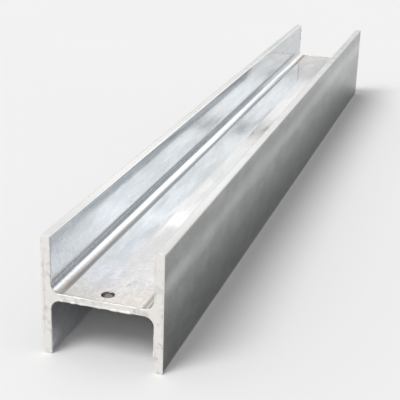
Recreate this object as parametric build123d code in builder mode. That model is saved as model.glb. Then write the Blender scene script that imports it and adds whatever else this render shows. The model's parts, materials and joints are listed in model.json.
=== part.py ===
"""Short wide-flange steel H-beam, hot rolled, cut square and galvanised.

The beam is one rolled piece: two parallel flanges joined by a web, with a rounded root in
each inner corner and the corners of the flange toes broken by a small radius. One hole
through the web, close to an end, takes the wire that the beam hangs from in the zinc bath.

The beam lies the way it is stacked, on its flange toes, with the web level. Millimetres:
X runs across the section from flange to flange, Y along the beam and Z up. The origin is
in the middle of the footprint, on the plane that the toes rest on.
"""

import os

from build123d import *

# Rolled section
section_depth = 100.0
flange_width = 100.0
web_thickness = 6.0
flange_thickness = 8.0
root_radius = 8.0
toe_radius = 1.2

# Cut length
beam_length = 900.0

# Hanging hole, on the middle line of the web
hole_diameter = 10.0
hole_to_end = 14.0

# Places that follow from the sizes above
half_depth = section_depth / 2
half_width = flange_width / 2
half_web = web_thickness / 2
flange_inner = half_depth - flange_thickness
near_end = -beam_length / 2
web_middle = half_width
section_plane = Plane(origin=(0, 0, web_middle), x_dir=(1, 0, 0), z_dir=(0, -1, 0))
web_plane = Plane(origin=(0, near_end + hole_to_end, web_middle))

with BuildPart() as h_beam:
    # The section is drawn as one quarter and mirrored both ways
    with BuildSketch(section_plane) as section:
        with BuildLine() as outline:
            web_face = Line((0, half_web), (flange_inner - root_radius, half_web))
            root = RadiusArc(web_face @ 1, (flange_inner, half_web + root_radius), -root_radius)
            inner_face = Line(root @ 1, (flange_inner, half_width - toe_radius))
            inner_corner = RadiusArc(inner_face @ 1, (flange_inner + toe_radius, half_width), toe_radius)
            toe = Line(inner_corner @ 1, (half_depth - toe_radius, half_width))
            outer_corner = RadiusArc(toe @ 1, (half_depth, half_width - toe_radius), toe_radius)
            Line(outer_corner @ 1, (half_depth, 0))
            mirror(about=Plane.XZ)
            mirror(about=Plane.YZ)
        make_face()
    extrude(amount=beam_length / 2, both=True)

    # The hanging hole goes through the web alone, which lies well inside the flanges' width
    with Locations(web_plane):
        Hole(radius=hole_diameter / 2, depth=web_thickness)

h_beam.part.label = "h_beam"

os.makedirs("parts", exist_ok=True)
export_step(h_beam.part, "parts/h_beam.step")
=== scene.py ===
"""Looks of a short, hot-dip galvanised steel H-beam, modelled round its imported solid.

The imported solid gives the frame: the beam's box, the level of its web, the middle of its flange
toes and its hanging hole. The beam is modelled again here with a mesh fine enough for what the
solid leaves out: softened cut edges, faintly wavy faces, uneven toes and beads of drained zinc.
Lengths are in metres, in the frame of the solid.
"""

import json
import logging
import math
from collections.abc import Callable
from dataclasses import dataclass
from enum import Enum

import bmesh
import bpy
from mathutils import Matrix, Vector

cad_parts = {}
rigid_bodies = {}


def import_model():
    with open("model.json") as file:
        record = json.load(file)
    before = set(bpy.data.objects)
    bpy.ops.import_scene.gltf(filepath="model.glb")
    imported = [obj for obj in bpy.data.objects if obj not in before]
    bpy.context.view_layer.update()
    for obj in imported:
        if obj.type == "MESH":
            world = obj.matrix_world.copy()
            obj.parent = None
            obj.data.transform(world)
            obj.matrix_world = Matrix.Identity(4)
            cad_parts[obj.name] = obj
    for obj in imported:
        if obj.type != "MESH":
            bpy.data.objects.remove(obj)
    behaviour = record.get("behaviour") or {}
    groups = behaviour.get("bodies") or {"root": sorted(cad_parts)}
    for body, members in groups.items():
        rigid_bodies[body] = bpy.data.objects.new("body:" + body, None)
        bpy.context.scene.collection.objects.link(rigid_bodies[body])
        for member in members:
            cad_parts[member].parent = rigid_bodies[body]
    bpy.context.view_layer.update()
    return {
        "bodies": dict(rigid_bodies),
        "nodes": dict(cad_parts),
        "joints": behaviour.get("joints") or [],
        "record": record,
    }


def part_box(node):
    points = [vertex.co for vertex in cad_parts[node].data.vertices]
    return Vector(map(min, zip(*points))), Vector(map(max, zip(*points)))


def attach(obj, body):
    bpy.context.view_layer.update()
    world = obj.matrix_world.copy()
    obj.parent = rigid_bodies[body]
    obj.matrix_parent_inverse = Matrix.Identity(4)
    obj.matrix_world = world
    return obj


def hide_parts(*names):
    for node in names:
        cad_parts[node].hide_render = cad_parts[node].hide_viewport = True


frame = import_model()

LOG = logging.getLogger("h_beam")
BODY = "root"
NODE = "h_beam"
MM_PER_METRE = 1000

# How close two places count as one, how slim an edge along the beam is, and how square a cut face is
TOUCHING = 1e-5
SLIMNESS = 100
FACING = 0.5

# The sockets of a Mix node that take and give colours
MIX_FIRST = 6
MIX_SECOND = 7
MIX_RESULT = 2

Colour = tuple[float, float, float]
Span = tuple[float, float]
Face = bmesh.types.BMFace
Edge = bmesh.types.BMEdge
Piece = bpy.types.Object
Finish = bpy.types.Material
Socket = bpy.types.NodeSocket
Signal = float | Socket
Feeds = dict[int | str, Signal | Colour | Vector]


class Axis(Enum):
    """The axes of the beam: across the section, along the beam, and up."""

    X = Vector((1.0, 0.0, 0.0))
    Y = Vector((0.0, 1.0, 0.0))
    Z = Vector((0.0, 0.0, 1.0))


class End(Enum):
    """The two cut ends, by the sign of their place along the beam."""

    NEAR = -1.0
    FAR = 1.0


class Side(Enum):
    """The two flanges, by the sign of their place across the section."""

    LEFT = -1.0
    RIGHT = 1.0


class Part(Enum):
    """The parts of a mesh that are selected by their place."""

    FACE = "faces"
    EDGE = "edges"


class Sum(Enum):
    """The sums that the finishes are worked out with."""

    ADD = "ADD"
    TAKE = "SUBTRACT"
    TIMES = "MULTIPLY"
    SIZE = "ABSOLUTE"


@dataclass(frozen=True)
class BeamSizes:
    """Sizes and places of the rolled beam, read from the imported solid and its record.

    The beam is symmetric across X and Y, and its web lies half way up its flanges. The modelled
    ends stand back a little from the solid's, which leaves room for the runs of zinc on them.
    """

    half_depth: float
    half_width: float
    half_length: float
    half_web: float
    flange: float
    hole_place: Vector
    hole_radius: float
    root_radius: float = 0.008
    toe_radius: float = 0.0012
    end_setback: float = 0.0013

    @classmethod
    def from_frame(cls, packed: dict) -> "BeamSizes":
        """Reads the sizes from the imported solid's box and the places of its mounts.


        Returns:
            The sizes of the beam.
        """
        low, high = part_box(NODE)
        mounts = {mount["name"]: mount for mount in packed["record"]["mounts"]}
        middle = (low.z + high.z) / 2
        toe_middle = mounts["right_lower_toe"]["pos_m"][0]
        return cls(
            half_depth=(high.x - low.x) / 2,
            half_width=middle - low.z,
            half_length=(high.y - low.y) / 2,
            half_web=mounts["web_upper_face"]["pos_m"][2] - middle,
            flange=2 * (high.x - toe_middle),
            hole_place=Vector(mounts["hanging_hole"]["pos_m"]),
            hole_radius=mounts["hanging_hole"]["dims"]["r_mm"] / MM_PER_METRE,
        )

    @property
    def middle(self) -> float:
        """The height of the web's middle plane."""
        return self.half_width

    @property
    def end_place(self) -> float:
        """The distance from the middle of the beam to a modelled cut end."""
        return self.half_length - self.end_setback

    @property
    def inner(self) -> float:
        """The distance from the middle of the section to a flange's inner face."""
        return self.half_depth - self.flange


@dataclass(frozen=True)
class Grain:
    """A cloudy pattern: the size of its patches, how far they are drawn out, and its finer layers."""

    size: float
    drawn: float = 1.0
    layers: float = 1.0
    rough: float = 0.5


class NodeBoard:
    """The nodes of a material or of the sky, with short calls for those that it is wired from."""

    def __init__(
        self, owner: Finish | bpy.types.World, shader: str = "Principled BSDF", place: str = "Object"
    ) -> None:
        """Starts with the shader and the place that is shaded.

        Args:
            owner: what the nodes belong to.
            shader: the name of its shader node.
            place: the name of the coordinates that give the place.
        """
        owner.use_nodes = True
        self.tree = owner.node_tree
        self.shader = self.tree.nodes[shader]
        self.place = self.add("ShaderNodeTexCoord", {}).outputs[place]

    def add(self, kind: str, feeds: Feeds, **options: str) -> bpy.types.Node:
        """Adds a node.

        Args:
            kind: the kind of node.
            feeds: what its inputs get.
            options: its settings.

        Returns:
            The node.
        """
        node = self.tree.nodes.new(kind)
        for name, option in options.items():
            setattr(node, name, option)
        self.feed(node, feeds)
        return node

    def feed(self, node: bpy.types.Node, feeds: Feeds) -> None:
        """Sets inputs of a node to plain values, or links them to the outputs of other nodes.

        Args:
            node: the node.
            feeds: a number, a colour, a vector or an output for each input.
        """
        for name, feed in feeds.items():
            socket = node.inputs[name]
            if isinstance(feed, Socket):
                self.tree.links.new(feed, socket)
            else:
                socket.default_value = (*feed, 1.0) if isinstance(feed, tuple) else feed

    def sum(self, kind: Sum, first: Signal, second: Signal = 0.0) -> Socket:
        """Works out a sum of two numbers, or of the first alone."""
        return self.add("ShaderNodeMath", {0: first, 1: second}, operation=kind.value).outputs[0]

    def both(self, first: Signal, second: Signal) -> Socket:
        """Where two zones overlap, or a share of one."""
        return self.sum(Sum.TIMES, first, second)

    def rest(self, zone: Signal) -> Socket:
        """All that a zone leaves out."""
        return self.sum(Sum.TAKE, 1.0, zone)

    def apart(self, first: Signal, second: Signal) -> Socket:
        """How far two numbers lie apart."""
        return self.sum(Sum.SIZE, self.sum(Sum.TAKE, first, second))

    def axes(self) -> tuple[Socket, ...]:
        """Splits the place into its X, Y and Z."""
        return tuple(self.add("ShaderNodeSeparateXYZ", {0: self.place}).outputs)

    def rise(self, signal: Signal, low: float, high: float) -> Socket:
        """A soft step from 0 at low to 1 at high, which may be the smaller of the two.

        Args:
            signal: what is measured.
            low: where the step starts.
            high: where the step ends.

        Returns:
            The step's value.
        """
        turned = float(low > high)
        step = self.spread(signal, turned, 1.0 - turned, (min(low, high), max(low, high)))
        step.node.interpolation_type = "SMOOTHSTEP"
        return step

    def spread(self, signal: Signal, low: Signal, high: Signal, over: Span = (0.0, 1.0)) -> Socket:
        """Spreads a range of a signal evenly from low to high."""
        feeds = {"Value": signal, "From Min": over[0], "From Max": over[1], "To Min": low, "To Max": high}
        return self.add("ShaderNodeMapRange", feeds).outputs["Result"]

    def swing(self, pattern: Signal, amount: float) -> Socket:
        """Spreads a pattern by an amount to both sides of 0."""
        return self.spread(pattern, -amount, amount)

    def drawn_out(self, length: float) -> Socket:
        """Where to read a pattern that is drawn out along the beam by that factor."""
        feeds = {"Vector": self.place, "Scale": Vector((1.0, 1.0 / length, 1.0))}
        return self.add("ShaderNodeMapping", feeds).outputs["Vector"]

    def noise(self, grain: Grain) -> Socket:
        """Cloudy noise of that grain, about 0.5 in the middle."""
        feeds = {"Scale": 1.0 / grain.size, "Detail": grain.layers, "Roughness": grain.rough}
        return self.add("ShaderNodeTexNoise", {"Vector": self.drawn_out(grain.drawn), **feeds}).outputs["Fac"]

    def crystals(self, grain: Grain, bend: float, soft: float) -> Socket:
        """Zinc crystals: cells with a grey of their own and bent borders.

        Args:
            grain: the size of a crystal and how far it is drawn out.
            bend: how far the borders are bent.
            soft: how far the cells run into each other.

        Returns:
            The grey of the crystal at each place.
        """
        scale = 1.0 / grain.size
        wave = self.add("ShaderNodeTexNoise", {"Vector": self.place, "Scale": scale}).outputs["Color"]
        bends = {0: wave, 1: Vector((bend, bend, bend)), 2: self.drawn_out(grain.drawn)}
        bent = self.add("ShaderNodeVectorMath", bends, operation="MULTIPLY_ADD").outputs["Vector"]
        feeds = {"Vector": bent, "Scale": scale, "Smoothness": soft}
        cells = self.add("ShaderNodeTexVoronoi", feeds, feature="SMOOTH_F1").outputs["Color"]
        return self.add("ShaderNodeSeparateColor", {0: cells}).outputs[0]

    def blend(self, amount: Signal, first: Signal | Colour, second: Signal | Colour) -> Socket:
        """Mixes two colours, by the amount of the second."""
        feeds = {0: amount, MIX_FIRST: first, MIX_SECOND: second}
        return self.add("ShaderNodeMix", feeds, data_type="RGBA").outputs[MIX_RESULT]

    def shade(self, colour: Signal, light: Signal) -> Socket:
        """Makes a colour lighter or darker by a factor."""
        feeds = {0: colour, "Scale": light}
        return self.add("ShaderNodeVectorMath", feeds, operation="SCALE").outputs["Vector"]

    def relief(self, height: Signal, depth: float, under: Socket | None = None) -> Socket:
        """Fine relief as a bent normal.

        Args:
            height: the relief, from 0 to 1.
            depth: its real depth.
            under: the relief that this one lies on.

        Returns:
            The bent normal.
        """
        feeds = {"Height": height, "Distance": depth, "Strength": 1.0}
        if under is not None:
            feeds["Normal"] = under
        return self.add("ShaderNodeBump", feeds).outputs["Normal"]


@dataclass(frozen=True)
class ZincCoat:
    """Hot-dip zinc on rolled steel.

    Pale metal with clouded tones, faint crystals and streaks along the beam, glossy in the middle and
    matt and frosted by the cut ends, where the web is creamy. The outer faces carry painted shade,
    darker towards the bottom, with lighter scuffs and a painted highlight band; the inner faces a
    painted blue-grey shade; the toes a painted highlight; the roots brown stains near the ends and a
    painted dark reflection along the rest, on their web side; and the wall of the hole painted shade.
    """

    name: str = "zinc_coat"

    # Colours
    cool_tone: Colour = (0.745, 0.762, 0.775)
    warm_tone: Colour = (0.81, 0.797, 0.775)
    # Painted shade: the inner flange faces are darker and bluer than the rest of the coat
    inner_shade_tone: Colour = (0.66, 0.70, 0.735)
    # Painted shade: the outer faces are far darker than the rest of the coat, mottled with lighter scuffs
    outer_shade_tone: Colour = (0.25, 0.262, 0.252)
    scuff_shade_tone: Colour = (0.345, 0.35, 0.338)
    end_tone: Colour = (0.80, 0.793, 0.815)
    cream_tone: Colour = (0.86, 0.79, 0.715)
    # Painted highlight: the toes are lighter than the faces beside them
    toe_highlight_tone: Colour = (0.88, 0.87, 0.85)
    cut_tone: Colour = (0.83, 0.81, 0.775)
    blotch_tone: Colour = (0.66, 0.645, 0.62)
    root_tone: Colour = (0.48, 0.41, 0.335)
    # Painted dark reflection along the root line away from the ends, where it turns to brown stains
    dark_reflection_tone: Colour = (0.36, 0.35, 0.38)
    speck_tone: Colour = (0.42, 0.40, 0.38)
    # Painted shade: the wall of the hole is dark
    bore_shade_tone: Colour = (0.20, 0.19, 0.18)
    slant_tone: Colour = (0.86, 0.865, 0.87)

    # Patterns, and the values of some between which one colour turns into another
    clouds: Grain = Grain(0.11, 6.0, 3.0)
    crystals: Grain = Grain(0.009, 4.0)
    streaks: Grain = Grain(0.005, 40.0, 2.0)
    mottle: Grain = Grain(0.012, 8.0, 3.0, 0.6)
    blotches: Grain = Grain(0.009, 1.6, 4.0, 0.65)
    patches: Grain = Grain(0.035, 6.0, 3.0, 0.6)
    pebbles: Grain = Grain(0.014, 2.2, 4.0, 0.6)
    frost: Grain = Grain(0.0026, 1.4, 2.0, 0.6)
    specks: Grain = Grain(0.005, 3.5)
    speck_fields: Grain = Grain(0.045, 3.5)
    crystal_bend: float = 0.0045
    crystal_soft: float = 0.25
    cloud_rise: Span = (0.35, 0.65)
    scuff_rise: Span = (0.36, 0.70)
    blotch_rise: Span = (0.50, 0.68)
    speck_rise: Span = (0.70, 0.76)
    field_rise: Span = (0.50, 0.60)

    # How far the zones reach from the edges that they follow, and how far their borders stray
    end_reach: float = 0.16
    cream_reach: float = 0.050
    cream_shift: float = 0.03
    cut_reach: Span = (0.0006, 0.0002)
    toe_reach: float = 0.0035
    toe_edge: float = 0.001
    outer_reach: Span = (0.0014, 0.0007)
    inner_reach: Span = (0.004, 0.0005)
    bore_reach: Span = (0.0006, 0.0002)
    stain_reach: Span = (0.0030, 0.00075)
    stain_shift: float = 0.0012
    stain_height_shares: Span = (0.5, 0.25)
    brown_reach: float = 0.30
    # Painted highlight: a lighter band along the outer faces at this height and within this reach
    sheen_band_height: float = 0.074
    sheen_band_reach: float = 0.014
    # Painted shade: the outer faces darken towards the bottom between these heights
    low_shade_heights: Span = (0.060, 0.035)
    patch_shift: float = 0.010

    # How strongly the zones and patterns colour the coat
    end_share: float = 0.75
    inner_shade_share: float = 0.8
    outer_shade_share: float = 0.9
    # How strongly the painted highlight band lightens the outer faces
    sheen_band_share: float = 0.40
    cream_share: float = 0.7
    toe_highlight_share: float = 0.7
    # The root line is brown stains near the ends and a painted dark reflection along the rest
    stain_and_reflection_share: float = 0.75
    speck_share: float = 0.45
    bore_shade_share: float = 0.85
    # Painted shade: how far the outer faces darken towards the bottom
    low_shade_factors: Span = (1.0, 0.74)
    crystal_shades: Span = (0.93, 1.06)
    streak_shades: Span = (0.93, 1.07)
    mottle_shades: Span = (0.90, 1.10)
    blotch_shade: float = 0.16
    frost_shade: float = 0.22

    # Roughness, what covers the bare metal, and relief
    crystal_dull: Span = (0.045, 0.075)
    streak_dull: float = 0.015
    end_dull: float = 0.14
    outer_dull: float = 0.15
    cut_dull: float = 0.22
    stain_dull: float = 0.25
    toe_dull: float = 0.10
    stain_cover: float = 0.5
    cut_cover: float = 0.7
    mottle_depth: float = 0.000018
    streak_depth: float = 0.000004
    frost_depth: float = 0.00001

    def material(self, sizes: BeamSizes) -> Finish:
        """Wires the coat for a beam of these sizes."""
        return CoatWiring(self, sizes).material()


class CoatWiring:
    """A zinc coat's nodes: its patterns, from 0 to 1, and its zones, 1 within and 0 outside."""

    def __init__(self, coat: ZincCoat, sizes: BeamSizes) -> None:
        """Wires the patterns and the zones.

        Args:
            coat: the coat.
            sizes: the beam's sizes, which place the zones.
        """
        self.coat = coat
        self.sizes = sizes
        self.finish = bpy.data.materials.new(coat.name)
        self.board = NodeBoard(self.finish)
        self._wire_patterns()
        self._wire_zones()

    def material(self) -> Finish:
        """Feeds the shader.

        Returns:
            The finished material.
        """
        coat, board = self.coat, self.board
        bare = board.rest(board.both(self.root_stain_and_reflection, coat.stain_cover))
        skin = board.relief(self.mottle, coat.mottle_depth)
        skin = board.relief(self.streaks, coat.streak_depth, skin)
        feeds = {
            "Base Color": self._marked(self._ground()),
            "Roughness": self._dullness(),
            "Metallic": board.sum(Sum.TAKE, bare, board.both(self.cut, coat.cut_cover)),
            "Specular Tint": coat.slant_tone,
            "Normal": board.relief(board.both(self.frost, self.ends), coat.frost_depth, skin),
        }
        board.feed(board.shader, feeds)
        return self.finish

    def _wire_patterns(self) -> None:
        """Wires the patterns."""
        coat, board = self.coat, self.board
        self.clouds = board.noise(coat.clouds)
        self.crystals = board.crystals(coat.crystals, coat.crystal_bend, coat.crystal_soft)
        self.streaks = board.noise(coat.streaks)
        self.mottle = board.noise(coat.mottle)
        self.blotches = board.noise(coat.blotches)
        self.patches = board.noise(coat.patches)
        self.pebbles = board.noise(coat.pebbles)
        self.frost = board.noise(coat.frost)

    def _wire_zones(self) -> None:
        """Wires the zones, from the place on the beam."""
        coat, sizes, board = self.coat, self.sizes, self.board
        x, y, z = board.axes()
        across = board.sum(Sum.SIZE, x)
        level = board.apart(z, sizes.middle)
        to_end = board.sum(Sum.TAKE, sizes.end_place, board.sum(Sum.SIZE, y))
        to_toe = board.sum(Sum.TAKE, sizes.half_width, level)

        self.ends = board.rise(to_end, coat.end_reach, 0.0)
        self.cut = board.rise(to_end, *coat.cut_reach)
        self.brown = board.rise(to_end, coat.brown_reach, 0.0)
        self.toes = board.rise(to_toe, coat.toe_reach, 0.0)
        outer = board.rise(across, *(sizes.half_depth - reach for reach in coat.outer_reach))
        self.outer = board.both(outer, board.rest(self.cut))
        # Painted light on the outer faces: a highlight band in their upper part, and shade in their lower
        # part
        height = board.sum(Sum.ADD, z, board.swing(self.patches, coat.patch_shift))
        from_sheen_band = board.apart(height, coat.sheen_band_height)
        self.painted_sheen_band = board.both(self.outer, board.rise(from_sheen_band, coat.sheen_band_reach, 0.0))
        # Painted shade that darkens the outer faces towards the bottom
        self.painted_low_shade = board.both(self.outer, board.rise(height, *coat.low_shade_heights))
        # The inner flange faces, short of the toes, which get a painted blue-grey shade
        inner = board.rise(across, *(sizes.inner - reach for reach in coat.inner_reach))
        self.inner = board.both(inner, board.rise(to_toe, coat.toe_edge, coat.toe_reach))
        strayed = board.sum(Sum.ADD, to_end, board.swing(self.patches, coat.cream_shift))
        on_web = board.rise(across, sizes.inner, sizes.inner - sizes.root_radius)
        self.creamy = board.both(board.rise(strayed, coat.cream_reach, 0.0), on_web)
        # The root line: brown stains near the ends, a painted dark reflection along the rest
        self.root_stain_and_reflection = board.both(self._root_line(across, level), board.rest(self.cut))
        spots = board.rise(board.noise(coat.specks), *coat.speck_rise)
        self.specks = board.both(spots, board.rise(board.noise(coat.speck_fields), *coat.field_rise))
        # The wall of the hole, which gets painted shade
        self.bore = self._hole_wall(x, y)

    def _root_line(self, across: Socket, level: Socket) -> Socket:
        """The uneven line along each root, on the web's side of the rounding.

        Args:
            across: the distance from the beam's middle plane.
            level: the distance from the web's middle plane.

        Returns:
            The zone.
        """
        coat, sizes, board = self.coat, self.sizes, self.board
        from_line = board.apart(across, sizes.inner - sizes.root_radius)
        strayed = board.sum(Sum.ADD, from_line, board.swing(self.streaks, coat.stain_shift))
        heights = (sizes.half_web + sizes.root_radius * part for part in coat.stain_height_shares)
        return board.both(board.rise(strayed, *coat.stain_reach), board.rise(level, *heights))

    def _hole_wall(self, x: Socket, y: Socket) -> Socket:
        """The wall of the hanging hole.

        Args:
            x: the place across the beam.
            y: the place along the beam.

        Returns:
            The zone.
        """
        sizes, board = self.sizes, self.board
        beside = board.sum(Sum.TAKE, x, sizes.hole_place.x)
        ahead = board.sum(Sum.TAKE, y, sizes.hole_place.y)
        squared = board.sum(Sum.ADD, board.both(beside, beside), board.both(ahead, ahead))
        return board.rise(squared, *((sizes.hole_radius + reach) ** 2 for reach in self.coat.bore_reach))

    def _ground(self) -> Socket:
        """Wires the coat's colour face by face, with painted shade on the inner and outer faces and a painted
        highlight band on the outer ones, and its fine grain.

        Returns:
            The colour.
        """
        coat, board = self.coat, self.board
        tone = board.blend(board.rise(self.clouds, *coat.cloud_rise), coat.cool_tone, coat.warm_tone)
        scuffed_and_shaded = board.blend(board.rise(self.pebbles, *coat.scuff_rise), coat.outer_shade_tone, coat.scuff_shade_tone)
        for zone, amount, colour in (
            (self.ends, coat.end_share, coat.end_tone),
            # A painted blue-grey shade on the inner flange faces
            (self.inner, coat.inner_shade_share, coat.inner_shade_tone),
            # Painted shade with lighter scuffs on the outer faces
            (self.outer, coat.outer_shade_share, scuffed_and_shaded),
            # A painted highlight band along the outer faces
            (self.painted_sheen_band, coat.sheen_band_share, coat.cool_tone),
        ):
            tone = board.blend(board.both(zone, amount), tone, colour)
        for pattern, shades in (
            # Painted shade, darker towards the bottom of the outer faces
            (self.painted_low_shade, coat.low_shade_factors),
            (self.crystals, coat.crystal_shades),
            (self.streaks, coat.streak_shades),
            (self.mottle, coat.mottle_shades),
        ):
            tone = board.shade(tone, board.spread(pattern, *shades))
        return tone

    def _marked(self, ground: Socket) -> Socket:
        """Wires the marks on the coat: creamy, clouded ends, stains and specks, with a painted highlight on
        the toes, a painted dark reflection along the roots and painted shade in the hole.

        Args:
            ground: the coat's colour, with its painted shade and highlight band.

        Returns:
            The colour with its marks.
        """
        coat, board = self.coat, self.board
        tone = board.blend(board.both(self.creamy, coat.cream_share), ground, coat.cream_tone)
        for pattern, amount in ((self.blotches, coat.blotch_shade), (self.frost, coat.frost_shade)):
            clouded = board.both(self.ends, board.swing(pattern, amount))
            tone = board.shade(tone, board.sum(Sum.ADD, clouded, 1.0))
        sawn = board.blend(board.rise(self.blotches, *coat.blotch_rise), coat.cut_tone, coat.blotch_tone)
        stains_and_reflection = board.blend(self.brown, coat.dark_reflection_tone, coat.root_tone)
        for zone, amount, colour in (
            # A painted highlight along the toes
            (self.toes, coat.toe_highlight_share, coat.toe_highlight_tone),
            (self.cut, 1.0, sawn),
            # Stains and a painted dark reflection along the roots
            (self.root_stain_and_reflection, coat.stain_and_reflection_share, stains_and_reflection),
            (self.specks, coat.speck_share, coat.speck_tone),
            # Painted shade in the hole
            (self.bore, coat.bore_shade_share, coat.bore_shade_tone),
        ):
            tone = board.blend(board.both(zone, amount), tone, colour)
        return tone

    def _dullness(self) -> Socket:
        """Wires the coat's roughness.

        Returns:
            The roughness.
        """
        coat, board = self.coat, self.board
        streaked = board.swing(self.streaks, coat.streak_dull)
        dull = board.sum(Sum.ADD, board.spread(self.crystals, *coat.crystal_dull), streaked)
        for zone, amount in (
            (board.both(self.ends, board.rest(self.outer)), coat.end_dull),
            (self.outer, coat.outer_dull),
            (self.cut, coat.cut_dull),
            (self.root_stain_and_reflection, coat.stain_dull),
            (self.toes, coat.toe_dull),
        ):
            dull = board.sum(Sum.ADD, dull, board.both(zone, amount))
        return dull


@dataclass(frozen=True)
class PaleFloor:
    """A plain white studio floor, matt and barely clouded."""

    name: str = "pale_floor"
    light_tone: Colour = (0.955, 0.955, 0.955)
    dark_tone: Colour = (0.94, 0.94, 0.94)
    clouds: Grain = Grain(0.4, layers=2.0)
    dull: float = 0.9

    def material(self) -> Finish:
        """Wires the floor's finish.

        Returns:
            The material.
        """
        finish = bpy.data.materials.new(self.name)
        board = NodeBoard(finish)
        tone = board.blend(board.noise(self.clouds), self.light_tone, self.dark_tone)
        board.feed(board.shader, {"Base Color": tone, "Roughness": self.dull, "Specular IOR Level": 0.0})
        return finish


class MeshBench:
    """One mesh object, open in edit mode, with everything else deselected."""

    def __init__(self, piece: Piece) -> None:
        """Takes the mesh object that is worked on."""
        self.piece = piece

    def __enter__(self) -> "MeshBench":
        """Opens the piece in edit mode.

        Returns:
            The bench itself.
        """
        choose(self.piece)
        bpy.ops.object.mode_set(mode="EDIT")
        return self

    def __exit__(self, *error: object) -> None:
        """Closes edit mode."""
        bpy.ops.object.mode_set(mode="OBJECT")

    def pick(self, part: Part, wanted: Callable[[Face | Edge], bool]) -> None:
        """Selects faces or edges by their place or normal, and nothing else.

        Args:
            part: whether faces or edges are selected.
            wanted: says whether one of them is taken.
        """
        bpy.ops.mesh.select_mode(type=part.name)
        bpy.ops.mesh.select_all(action="DESELECT")
        shape = bmesh.from_edit_mesh(self.piece.data)
        taken = [one for one in getattr(shape, part.value) if wanted(one)]
        for one in taken:
            one.select_set(True)
        bmesh.update_edit_mesh(self.piece.data)

    def cut(self, axis: Axis, place: float) -> None:
        """Cuts all faces by a plane across an axis."""
        bpy.ops.mesh.select_all(action="SELECT")
        bpy.ops.mesh.bisect(plane_co=axis.value * place, plane_no=axis.value)

    def round_edges(self, width: float, steps: int) -> None:
        """Rounds the selected edges by a radius, in some steps."""
        bpy.ops.mesh.bevel(offset_type="OFFSET", offset=width, segments=steps, profile=0.5, affect="EDGES")

    def face_outwards(self) -> None:
        """Turns all faces outwards."""
        bpy.ops.mesh.select_all(action="SELECT")
        bpy.ops.mesh.normals_make_consistent(inside=False)


def choose(piece: Piece) -> None:
    """Makes one object the only selected one, and the active one.

    Args:
        piece: the object.
    """
    bpy.ops.object.select_all(action="DESELECT")
    piece.select_set(True)
    bpy.context.view_layer.objects.active = piece


def settle(piece: Piece) -> None:
    """Moves the place, turn and scale of a mesh object into its mesh."""
    choose(piece)
    bpy.ops.object.transform_apply(location=True, rotation=True, scale=True)


def sink(piece: Piece, size: float, depth: float, group: str = "", level: float = 1.0) -> None:
    """Sinks a surface by a cloudy pattern.

    Args:
        piece: a mesh object.
        size: the size of the pattern's patches.
        depth: how far apart its highest and lowest places are.
        group: the vertex group that it is limited to, or nothing.
        level: the height in the pattern, from 0 to 1, that stays where it is.
    """
    pattern = bpy.data.textures.new("clouds", "CLOUDS")
    pattern.noise_scale = size
    pattern.noise_depth = 1
    choose(piece)
    bpy.ops.object.modifier_add(type="DISPLACE")
    displace = piece.modifiers[-1]
    displace.texture = pattern
    displace.texture_coords = "LOCAL"
    displace.direction = "NORMAL"
    displace.mid_level = level
    displace.strength = depth
    displace.vertex_group = group
    bpy.ops.object.modifier_apply(modifier=displace.name)


def share(value: float) -> float:
    """Keeps a value between 0 and 1."""
    return min(1.0, max(0.0, value))


def near(value: float, place: float) -> bool:
    """Says whether a value lies at a place."""
    return abs(value - place) < TOUCHING


def reach_of(edge: Edge) -> Vector:
    """How far an edge reaches along each axis."""
    return Vector([abs(part) for part in edge.verts[0].co - edge.verts[1].co])


def runs_along(edge: Edge) -> bool:
    """Says whether an edge runs along the beam."""
    reach = reach_of(edge)
    return reach.y > SLIMNESS * max(reach.x, reach.z, TOUCHING)


def is_long(edge: Edge, longest: float, beyond: float) -> bool:
    """Says whether an edge runs along the beam, is longer than that, and lies that far from its middle."""
    away = abs(edge.verts[0].co.y + edge.verts[1].co.y) / 2
    return runs_along(edge) and edge.calc_length() > longest and away >= beyond


def is_open(edge: Edge) -> bool:
    """Says whether an edge has a face on one side at most."""
    return len(edge.link_faces) < 2


def is_cut_edge(edge: Edge) -> bool:
    """Says whether an edge goes round a cut end."""
    facing = [abs(face.normal.y) > FACING for face in edge.link_faces]
    return sorted(facing) == [False, True]


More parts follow.
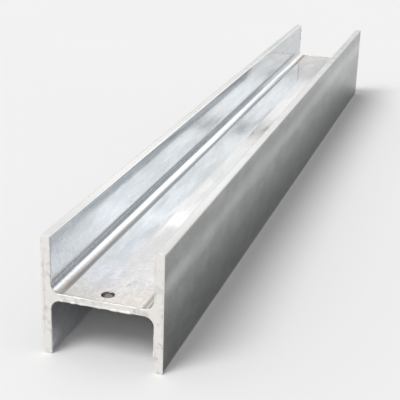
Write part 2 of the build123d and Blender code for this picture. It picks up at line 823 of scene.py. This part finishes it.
@dataclass
class RolledBeam:
    """The beam itself: a flat section, drawn out to its length, rounded, bored and made uneven.

    Its outer faces and toes are uneven inwards only, so the beam stays within the solid's box. The
    faces of its channels are uneven both ways, so the web keeps its thickness.
    """

    sizes: BeamSizes
    name: str = "galvanised_beam"
    cut_radius: float = 0.0007
    cut_steps: int = 3
    root_steps: int = 10
    toe_steps: int = 4
    toe_cells: int = 4
    face_cell: float = 0.005
    web_cell: float = 0.006
    patch_cells: int = 2
    patch_half: float = 0.008
    end_zone: float = 0.022
    end_cell: float = 0.0018
    end_halvings: int = 4
    cell_slack: float = 1.4
    long_cell: float = 0.0026
    fine_cuts: int = 3
    hole_steps: int = 40
    hole_rim: float = 0.0008
    wave_fade: float = 0.0028
    toe_fade: float = 0.0024
    warp_size: float = 0.22
    warp_depth: float = 0.00022
    ripple_size: float = 0.075
    ripple_depth: float = 0.000035
    ragged_size: float = 0.024
    ragged_depth: float = 0.00026
    flat_weight: int = 60

    def build(self, coat: Finish) -> Piece:
        """Models the beam and gives it its coat.

        Args:
            coat: the zinc coat.

        Returns:
            The finished piece.
        """
        piece = self._draw_bar()
        with MeshBench(piece) as bench:
            self._round_edges(bench)
            self._divide(bench)
            self._open_hole(bench)
            bench.face_outwards()
        self._make_uneven(piece)
        self._smooth(piece)
        piece.data.materials.append(coat)
        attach(piece, BODY)
        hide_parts(NODE)
        return piece

    def _section_cuts(self) -> list[tuple[Axis, float]]:
        """Where the flat section is cut into cells.

        Returns:
            The axis and place of each cut, with the cuts clear of the rounded corners.
        """
        sizes = self.sizes
        across = [sizes.inner + sizes.flange * step / self.toe_cells for step in range(self.toe_cells)]
        across += [self.patch_half * step / self.patch_cells for step in range(1, self.patch_cells + 1)]
        room = sizes.inner - sizes.root_radius - self.patch_half
        cells = math.floor(room / self.web_cell)
        across += [self.patch_half + room * step / cells for step in range(1, cells)]
        up = [sizes.half_web]
        reach = sizes.half_web + sizes.root_radius
        room = sizes.half_width - reach
        cells = math.floor(room / self.face_cell)
        up += [reach + room * step / cells for step in range(1, cells)]
        cuts = [(Axis.X, 0.0)]
        cuts += [(Axis.X, sign * place) for place in across for sign in (-1, 1)]
        cuts += [(Axis.Z, sizes.middle + sign * place) for place in up for sign in (-1, 1)]
        return cuts

    def _draw_bar(self) -> Piece:
        """Draws the flat section of the near end, cuts it into cells and draws it out to the beam's length.

        Returns:
            The beam, with sharp corners.
        """
        sizes = self.sizes
        start = (0.0, -sizes.end_place, sizes.middle)
        length = (0.0, 2 * sizes.end_place, 0.0)
        bpy.ops.mesh.primitive_plane_add(size=1.0, location=start, rotation=(math.pi / 2, 0.0, 0.0))
        piece = bpy.context.object
        piece.name = self.name
        piece.data.name = self.name
        piece.scale = (2 * sizes.half_depth, 2 * sizes.half_width, 1.0)
        settle(piece)
        with MeshBench(piece) as bench:
            for axis, place in self._section_cuts():
                bench.cut(axis, place)
            bench.pick(Part.FACE, self._in_channel)
            bpy.ops.mesh.delete(type="FACE")
            bench.pick(Part.EDGE, self._crosses_junction)
            bpy.ops.mesh.dissolve_edges(use_verts=False)
            bpy.ops.mesh.select_all(action="SELECT")
            bpy.ops.mesh.extrude_region_move(TRANSFORM_OT_translate={"value": length})
            bench.face_outwards()
        return piece

    def _away(self, place: Vector) -> Span:
        """How far a place lies from the beam's middle plane, and from the web's."""
        return abs(place.x), abs(place.z - self.sizes.middle)

    def _in_channel(self, face: Face) -> bool:
        """Says whether a cell of the section lies between the flanges, above or below the web."""
        across, level = self._away(face.calc_center_median())
        return across < self.sizes.inner and level > self.sizes.half_web

    def _crosses_junction(self, edge: Edge) -> bool:
        """Says whether an inside edge of the section lies where a flange and the web meet.

        Args:
            edge: the edge.

        Returns:
            Whether it lies there.
        """
        sizes = self.sizes
        across, level = self._away((edge.verts[0].co + edge.verts[1].co) / 2)
        beside = near(across, sizes.inner) and level < sizes.half_web
        within = near(level, sizes.half_web) and across > sizes.inner
        return not is_open(edge) and (beside or within)

    def _at_corner(self, edge: Edge, corners: list[Span]) -> bool:
        """Says whether an edge runs along the beam at one of those corners of the section."""
        across, level = self._away(edge.verts[0].co)
        return runs_along(edge) and any(near(across, x) and near(level, z) for x, z in corners)

    def _round_edges(self, bench: MeshBench) -> None:
        """Rounds the roots and the toes, and softens the cut ends.

        Args:
            bench: the beam, in edit mode.
        """
        sizes = self.sizes
        roots = [(sizes.inner, sizes.half_web)]
        toes = [(sizes.inner, sizes.half_width), (sizes.half_depth, sizes.half_width)]
        for wanted, radius, steps in (
            (lambda edge: self._at_corner(edge, roots), sizes.root_radius, self.root_steps),
            (lambda edge: self._at_corner(edge, toes), sizes.toe_radius, self.toe_steps),
            (is_cut_edge, self.cut_radius, self.cut_steps),
        ):
            bench.pick(Part.EDGE, wanted)
            bench.round_edges(radius, steps)

    def _divide(self, bench: MeshBench) -> None:
        """Divides the beam along its length, more finely by the cut ends.

        Args:
            bench: the beam, in edit mode.
        """
        hole = self.sizes.hole_place.y
        zone = self.sizes.end_place - self.end_zone
        for place in (-zone, zone, hole - self.patch_half, hole + self.patch_half):
            bench.cut(Axis.Y, place)
        coarse_cell = (self.fine_cuts + 1) * self.long_cell
        steps = [(zone, 0.0, round(2 * zone / coarse_cell) - 1)]
        steps += [(self.fine_cuts * self.long_cell, 0.0, self.fine_cuts)]
        shortest = self.end_cell / self.cell_slack
        steps += [(2**halving * shortest, zone, 1) for halving in range(self.end_halvings, 0, -1)]
        for longest, beyond, cuts in steps:
            bench.pick(Part.EDGE, lambda edge: is_long(edge, longest, beyond))
            bpy.ops.mesh.subdivide(number_cuts=cuts)

    def _in_patch(self, face: Face) -> bool:
        """Says whether a face is on the web, in the square round the middle of the hole."""
        across, along, up = (abs(part) for part in face.calc_center_median() - self.sizes.hole_place)
        return max(across, along) < self.patch_half and up < self.sizes.half_web + TOUCHING

    def _at_rim(self, edge: Edge) -> bool:
        """Says whether an edge is on a rim of the hole."""
        reaches = [(vertex.co.xy - self.sizes.hole_place.xy).length for vertex in edge.verts]
        return reach_of(edge).z < TOUCHING and all(near(reach, self.sizes.hole_radius) for reach in reaches)

    def _open_hole(self, bench: MeshBench) -> None:
        """Opens the hanging hole through the web, with rounded rims.

        Args:
            bench: the beam, in edit mode.
        """
        sizes = self.sizes
        radius = sizes.hole_radius
        bench.pick(Part.FACE, self._in_patch)
        bpy.ops.mesh.delete(type="FACE")
        for sign in (-1, 1):
            height = sizes.middle + sign * sizes.half_web
            rim = (*sizes.hole_place.xy, height)
            bpy.ops.mesh.primitive_circle_add(vertices=self.hole_steps, radius=radius, location=rim)
            bench.pick(Part.EDGE, lambda edge: is_open(edge) and near(edge.verts[0].co.z, height))
            bpy.ops.mesh.bridge_edge_loops()
        bench.pick(Part.EDGE, is_open)
        bpy.ops.mesh.bridge_edge_loops()
        bench.face_outwards()
        bench.pick(Part.EDGE, self._at_rim)
        bench.round_edges(self.hole_rim, self.cut_steps)

    def _make_uneven(self, piece: Piece) -> None:
        """Makes the faces faintly wavy and the toes a little ragged.

        Args:
            piece: the beam.
        """
        sizes = self.sizes
        outer, inner, toes = (piece.vertex_groups.new(name=name) for name in ("outer", "inner", "toes"))
        for vertex in piece.data.vertices:
            across, level = self._away(vertex.co)
            to_toe = sizes.half_width - level
            inside = share((sizes.end_place - abs(vertex.co.y)) / self.wave_fade)
            edge = 1.0 - share(to_toe / self.toe_fade)
            near_toe = 1.0 - share((to_toe - sizes.toe_radius) / self.toe_fade)
            outwards = max(near_toe, share((across - sizes.inner) / sizes.flange))
            outer.add([vertex.index], inside * outwards, "REPLACE")
            inner.add([vertex.index], inside * (1.0 - outwards), "REPLACE")
            toes.add([vertex.index], inside * edge, "REPLACE")
        for group, level in (("outer", 1.0), ("inner", 0.5)):
            sink(piece, self.warp_size, self.warp_depth, group, level)
            sink(piece, self.ripple_size, self.ripple_depth, group, level)
        sink(piece, self.ragged_size, self.ragged_depth, "toes")
        piece.vertex_groups.clear()

    def _smooth(self, piece: Piece) -> None:
        """Shades the beam smooth, with its flat faces kept flat up to their rounded edges.

        Args:
            piece: the beam.
        """
        choose(piece)
        bpy.ops.object.shade_smooth()
        bpy.ops.object.modifier_add(type="WEIGHTED_NORMAL")
        weigh = piece.modifiers[-1]
        weigh.mode = "FACE_AREA"
        weigh.weight = self.flat_weight
        bpy.ops.object.modifier_apply(modifier=weigh.name)


@dataclass
class ZincRuns:
    """Runs of drained zinc along the edges of the cut ends and round the hole, all one piece.

    One run is modelled as a rod that is thin at both ends. Its copies are laid along the edges of
    the web and the flanges, half sunk into the end faces, and then made lumpy, each in its own way.
    """

    sizes: BeamSizes
    name: str = "zinc_runs"
    sides: int = 10
    middle_rings: int = 90
    taper_rings: int = 4
    radius: float = 0.0010
    sunk: float = 0.0007
    lump_size: float = 0.0045
    lump_depth: float = 0.0016
    rim_radius: float = 0.0007
    rim_steps: int = 48
    length_shares: tuple[float, ...] = (0.03, 0.06, 0.11, 0.60, 0.11, 0.06, 0.03)
    growth_shares: tuple[float, ...] = (4.5, 1.6, 1.25, 1.0, 0.8, 0.625, 0.222)
    least_share: float = 0.01

    def build(self, coat: Finish) -> Piece:
        """Models the runs of both ends and the rims of the hole.

        Args:
            coat: the zinc coat.

        Returns:
            The finished piece.
        """
        first = self._rod()
        runs = [self._lay(first, start, stop) for end in End for start, stop in self._edges(end)]
        runs += [self._rim(up) for up in (-1, 1)]
        bpy.data.objects.remove(first)
        piece = runs[0]
        choose(piece)
        for run in runs:
            run.select_set(True)
        bpy.ops.object.join()
        piece.name = self.name
        piece.data.name = self.name
        bpy.ops.object.shade_smooth()
        piece.data.materials.append(coat)
        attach(piece, BODY)
        return piece

    def _rod(self) -> Piece:
        """Models one run: a rod of unit length, of unit radius in the middle and thin at both ends.

        Returns:
            The rod.
        """
        thin = 1.0 / math.prod(growth for growth in self.growth_shares if growth > 1.0)
        start = (0.0, 0.0, -0.5)
        bpy.ops.mesh.primitive_circle_add(vertices=self.sides, radius=thin, fill_type="NGON", location=start)
        rod = bpy.context.object
        settle(rod)
        longest = max(self.length_shares) / 2
        with MeshBench(rod) as bench:
            bpy.ops.mesh.select_all(action="SELECT")
            for length, growth in zip(self.length_shares, self.growth_shares):
                bpy.ops.mesh.extrude_region_move(TRANSFORM_OT_translate={"value": (0.0, 0.0, length)})
                bpy.ops.transform.resize(value=(growth, growth, 1.0))
            bench.pick(Part.EDGE, lambda edge: reach_of(edge).z > longest)
            bpy.ops.mesh.subdivide(number_cuts=self.middle_rings)
            bench.pick(Part.EDGE, lambda edge: self.least_share < reach_of(edge).z < longest)
            bpy.ops.mesh.subdivide(number_cuts=self.taper_rings)
            bench.face_outwards()
        return rod

    def _rim(self, up: int) -> Piece:
        """Models the lumpy rim of the hanging hole on one face of the web.

        Args:
            up: 1 for the web's upper face, -1 for its lower face.

        Returns:
            The rim.
        """
        sizes = self.sizes
        bpy.ops.mesh.primitive_torus_add(
            location=(*sizes.hole_place.xy, sizes.middle + up * (sizes.half_web - self.rim_radius)),
            major_radius=sizes.hole_radius + self.rim_radius,
            minor_radius=self.rim_radius,
            major_segments=self.rim_steps,
            minor_segments=self.sides,
        )
        rim = bpy.context.object
        settle(rim)
        sink(rim, self.lump_size, self.lump_depth, level=0.5)
        return rim

    def _edges(self, end: End) -> list[tuple[Vector, ...]]:
        """The edges of an end face that the runs lie on.

        Args:
            end: the end.

        Returns:
            The two ends of each edge, a little inside the solid.
        """
        sizes = self.sizes
        along = end.value * (sizes.end_place - self.sunk)
        depth = self.radius + self.lump_depth / 2
        web = sizes.half_web - self.sunk
        top = sizes.half_width - 2 * depth
        root = sizes.half_web + sizes.root_radius
        inside = sizes.inner + self.sunk
        outside = sizes.half_depth - depth
        lines = []
        for up in (-1, 1):
            lines += [((-sizes.inner, up * web), (sizes.inner, up * web))]
            lines += [((side.value * inside, up * root), (side.value * inside, up * top)) for side in Side]
        lines += [((side.value * outside, -top), (side.value * outside, top)) for side in Side]
        return [tuple(Vector((x, along, sizes.middle + z)) for x, z in line) for line in lines]

    def _lay(self, first: Piece, start: Vector, stop: Vector) -> Piece:
        """Lays a copy of the run along an edge and makes it lumpy.

        Args:
            first: the run to copy.
            start: where the edge starts.
            stop: where the edge stops.

        Returns:
            The copy, with its own mesh.
        """
        run = first.copy()
        run.data = first.data.copy()
        bpy.context.collection.objects.link(run)
        run.location = (start + stop) / 2
        run.rotation_euler = (stop - start).to_track_quat("Z", "Y").to_euler()
        run.scale = (self.radius, self.radius, (stop - start).length)
        settle(run)
        sink(run, self.lump_size, self.lump_depth, level=0.5)
        return run


@dataclass(frozen=True)
class LightPanel:
    """An upright light panel that faces the beam."""

    name: str
    place: Vector
    width: float
    height: float
    light: float

    def hang(self, beam: Vector, lit: bpy.types.Collection) -> None:
        """Hangs the panel.

        Args:
            beam: the middle of the beam, which the panel faces.
            lit: the pieces that the panel lights. It leaves the floor alone, which stays even.
        """
        lamp = bpy.data.lights.new(self.name, "AREA")
        lamp.shape = "RECTANGLE"
        lamp.size = self.width
        lamp.size_y = self.height
        lamp.energy = self.light * math.pi * self.width * self.height
        panel = bpy.data.objects.new(self.name, lamp)
        bpy.context.collection.objects.link(panel)
        panel.location = self.place
        panel.rotation_euler = (self.place - beam).to_track_quat("Z", "Y").to_euler()
        panel.light_linking.receiver_collection = lit


@dataclass
class Studio:
    """The floor, the soft light and the camera.

    The glow by the horizon is as bright as the floor, so the two run into each other.
    """

    sizes: BeamSizes
    floor_size: float = 40.0
    glow_light: Colour = (0.885, 0.885, 0.885)
    horizon_light: Colour = (0.62, 0.617, 0.61)
    zenith_light: Colour = (0.72, 0.72, 0.725)
    glow_height: float = 0.11
    horizon_height: float = 0.20
    right_dim: float = 0.5
    key_from: Vector = Vector((-0.30, -0.52, 0.80))
    key_spread: float = 0.5
    key_strength: float = 1.65
    panels: tuple[LightPanel, ...] = (
        LightPanel("low_panel", Vector((0.0, 6.0, 1.20)), 12.0, 0.50, 0.20),
        LightPanel("far_panel", Vector((0.0, 6.0, 1.67)), 12.0, 0.36, 0.70),
        LightPanel("main_panel", Vector((0.0, 6.0, 2.37)), 12.0, 0.76, 0.62),
        LightPanel("top_panel", Vector((0.0, 6.0, 3.48)), 12.0, 1.46, 0.52),
        LightPanel("right_panel", Vector((3.1, 6.0, 2.60)), 6.0, 3.20, 0.45),
    )
    camera_from_end: Vector = Vector((0.2658, -0.6290, 0.3487))
    aim_from_end: Vector = Vector((0.0022, 0.2417, 0.0))
    camera_roll: float = math.radians(1.92)
    camera_view: float = math.radians(22.5)

    def build(self, floor: Finish, pieces: list[Piece]) -> None:
        """Lays the floor, hangs the lights and places the camera.

        Args:
            floor: the floor's finish.
            pieces: the finished pieces, which the panels light.
        """
        self._lay_floor(floor)
        self._light_sky()
        self._hang_key()
        self._hang_panels(pieces)
        self._place_camera()
        bpy.context.scene.view_settings.view_transform = "Standard"

    def _lay_floor(self, finish: Finish) -> None:
        """Lays the floor that the beam lies on.

        Args:
            finish: the floor's finish.
        """
        bpy.ops.mesh.primitive_plane_add(size=self.floor_size)
        floor = bpy.context.object
        floor.name = "floor"
        floor.data.materials.append(finish)

    def _light_sky(self) -> None:
        """Lights the scene from all round: a glow by the horizon, and less above it and on the right."""
        world = bpy.data.worlds.new("soft_sky")
        bpy.context.scene.world = world
        board = NodeBoard(world, "Background", "Generated")
        x, _, z = board.axes()
        ramp = board.add("ShaderNodeValToRGB", {0: z})
        stops = ramp.color_ramp.elements
        stops[0].position = self.glow_height
        stops[0].color = (*self.glow_light, 1.0)
        stops[1].position = 1.0
        stops[1].color = (*self.zenith_light, 1.0)
        stops.new(self.horizon_height).color = (*self.horizon_light, 1.0)
        right = board.spread(z, 1.0, self.right_dim, (self.glow_height, self.horizon_height))
        dim = board.spread(x, 1.0, right, (-1.0, 1.0))
        board.feed(board.shader, {"Color": ramp.outputs[0], "Strength": dim})

    def _hang_key(self) -> None:
        """Hangs the broad main light, high on the left."""
        lamp = bpy.data.lights.new("key", "SUN")
        lamp.energy = self.key_strength
        lamp.angle = self.key_spread
        key = bpy.data.objects.new("key", lamp)
        bpy.context.collection.objects.link(key)
        key.rotation_euler = self.key_from.to_track_quat("Z", "Y").to_euler()

    def _hang_panels(self, pieces: list[Piece]) -> None:
        """Hangs the light panels beyond the far end, which the web reflects.

        Args:
            pieces: the pieces that they light.
        """
        lit = bpy.data.collections.new("lit_by_panels")
        for piece in pieces:
            lit.objects.link(piece)
        for panel in self.panels:
            panel.hang(Vector((0.0, 0.0, self.sizes.middle)), lit)

    def _place_camera(self) -> None:
        """Places the camera to the right of the near end, above the beam."""
        end = Vector((0.0, -self.sizes.half_length, self.sizes.middle))
        lens = bpy.data.cameras.new("camera")
        lens.sensor_fit = "HORIZONTAL"
        lens.angle = self.camera_view
        camera = bpy.data.objects.new("camera", lens)
        bpy.context.collection.objects.link(camera)
        camera.location = end + self.camera_from_end
        back = self.camera_from_end - self.aim_from_end
        turn = back.to_track_quat("Z", "Y").to_matrix() @ Matrix.Rotation(self.camera_roll, 3, "Z")
        camera.rotation_euler = turn.to_euler()
        bpy.context.scene.camera = camera


def main() -> None:
    """Builds the beam, its zinc runs and the studio."""
    logging.basicConfig(level=logging.INFO, format="%(name)s: %(message)s")
    sizes = BeamSizes.from_frame(frame)
    coat = ZincCoat().material(sizes)
    piece = RolledBeam(sizes).build(coat)
    LOG.info("%s has %d faces", piece.name, len(piece.data.polygons))
    runs = ZincRuns(sizes).build(coat)
    LOG.info("%s has %d faces", runs.name, len(runs.data.polygons))
    Studio(sizes).build(PaleFloor().material(), [piece, runs])


if __name__ == "__main__":
    main()
